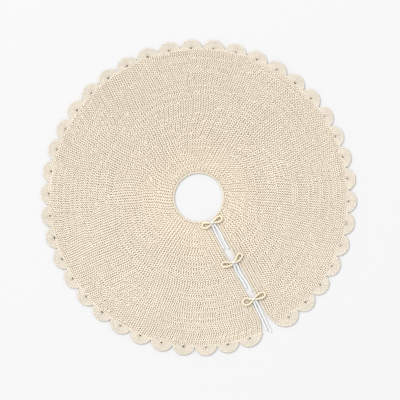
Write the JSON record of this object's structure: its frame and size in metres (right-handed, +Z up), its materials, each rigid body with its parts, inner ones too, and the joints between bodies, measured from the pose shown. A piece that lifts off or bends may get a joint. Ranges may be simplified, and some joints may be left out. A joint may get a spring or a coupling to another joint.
{
  "type": "tree skirt",
  "caption": "Round knitted tree skirt with a scalloped rim, a central trunk hole and a slit to the rim held shut by cord bows.",
  "frame": {"origin": "centre of the trunk hole at floor level", "axes": "+Z up from the floor, the slit runs from the hole to the rim along -Y"},
  "size_m": [1.2148, 1.2118, 0.017],
  "materials": {
    "cloth": "bumpy knitted cotton yarn, matte",
    "edging": "bound-off knitted edge, matte",
    "scallop": "crocheted shells, matte",
    "cord": "soft twisted cotton cord, matte"
  },
  "bodies": {
    "back_half": {"knit_back": "cloth", "edge_band_back": "edging", "scallop_11": "scallop", "scallop_12": "scallop", "scallop_13": "scallop", "scallop_14": "scallop", "scallop_15": "scallop", "scallop_16": "scallop", "scallop_17": "scallop", "scallop_18": "scallop", "scallop_19": "scallop", "scallop_20": "scallop", "scallop_21": "scallop", "scallop_22": "scallop", "scallop_23": "scallop", "scallop_24": "scallop", "scallop_25": "scallop", "scallop_26": "scallop", "scallop_27": "scallop", "scallop_28": "scallop", "scallop_29": "scallop", "scallop_30": "scallop", "scallop_31": "scallop"},
    "front_half": {"knit_front_left": "cloth", "knit_front_right": "cloth", "edge_band_left": "edging", "edge_band_right": "edging", "scallop_01": "scallop", "scallop_02": "scallop", "scallop_03": "scallop", "scallop_04": "scallop", "scallop_05": "scallop", "scallop_06": "scallop", "scallop_07": "scallop", "scallop_08": "scallop", "scallop_09": "scallop", "scallop_10": "scallop", "scallop_32": "scallop", "scallop_33": "scallop", "scallop_34": "scallop", "scallop_35": "scallop", "scallop_36": "scallop", "scallop_37": "scallop", "scallop_38": "scallop", "scallop_39": "scallop", "scallop_40": "scallop", "scallop_41": "scallop", "neck_bow_knot": "cord", "middle_bow_knot": "cord", "rim_bow_knot": "cord"},
    "neck_bow_loop_left": {"neck_bow_loop_left": "cord"},
    "neck_bow_loop_right": {"neck_bow_loop_right": "cord"},
    "neck_bow_tails": {"neck_bow_tails": "cord"},
    "middle_bow_loop_left": {"middle_bow_loop_left": "cord"},
    "middle_bow_loop_right": {"middle_bow_loop_right": "cord"},
    "middle_bow_tails": {"middle_bow_tails": "cord"},
    "rim_bow_loop_left": {"rim_bow_loop_left": "cord"},
    "rim_bow_loop_right": {"rim_bow_loop_right": "cord"},
    "rim_bow_tails": {"rim_bow_tails": "cord"}
  },
  "joints": [
    {"name": "fold", "type": "hinge", "parent": "back_half", "child": "front_half", "pos_m": [0, 0, 0.014], "axis": [-1, 0, 0], "range_deg": [0, 175]},
    {"name": "neck_bow_left_loop_lift", "type": "hinge", "parent": "front_half", "child": "neck_bow_loop_left", "pos_m": [-0.0076, -0.11, 0.0158], "axis": [0, -1, 0], "range_deg": [-85, 0]},
    {"name": "neck_bow_right_loop_lift", "type": "hinge", "parent": "front_half", "child": "neck_bow_loop_right", "pos_m": [0.0076, -0.11, 0.0158], "axis": [0, 1, 0], "range_deg": [-85, 0]},
    {"name": "neck_bow_tails_lift", "type": "hinge", "parent": "front_half", "child": "neck_bow_tails", "pos_m": [0, -0.1169, 0.0134], "axis": [1, 0, 0], "range_deg": [-80, 0]},
    {"name": "middle_bow_left_loop_lift", "type": "hinge", "parent": "front_half", "child": "middle_bow_loop_left", "pos_m": [-0.0076, -0.284, 0.0158], "axis": [0, -1, 0], "range_deg": [-85, 0]},
    {"name": "middle_bow_right_loop_lift", "type": "hinge", "parent": "front_half", "child": "middle_bow_loop_right", "pos_m": [0.0076, -0.284, 0.0158], "axis": [0, 1, 0], "range_deg": [-85, 0]},
    {"name": "middle_bow_tails_lift", "type": "hinge", "parent": "front_half", "child": "middle_bow_tails", "pos_m": [0, -0.2909, 0.0134], "axis": [1, 0, 0], "range_deg": [-80, 0]},
    {"name": "rim_bow_left_loop_lift", "type": "hinge", "parent": "front_half", "child": "rim_bow_loop_left", "pos_m": [-0.0076, -0.445, 0.0158], "axis": [0, -1, 0], "range_deg": [-85, 0]},
    {"name": "rim_bow_right_loop_lift", "type": "hinge", "parent": "front_half", "child": "rim_bow_loop_right", "pos_m": [0.0076, -0.445, 0.0158], "axis": [0, 1, 0], "range_deg": [-85, 0]},
    {"name": "rim_bow_tails_lift", "type": "hinge", "parent": "front_half", "child": "rim_bow_tails", "pos_m": [0, -0.4519, 0.0134], "axis": [1, 0, 0], "range_deg": [-80, 0]}
  ]
}
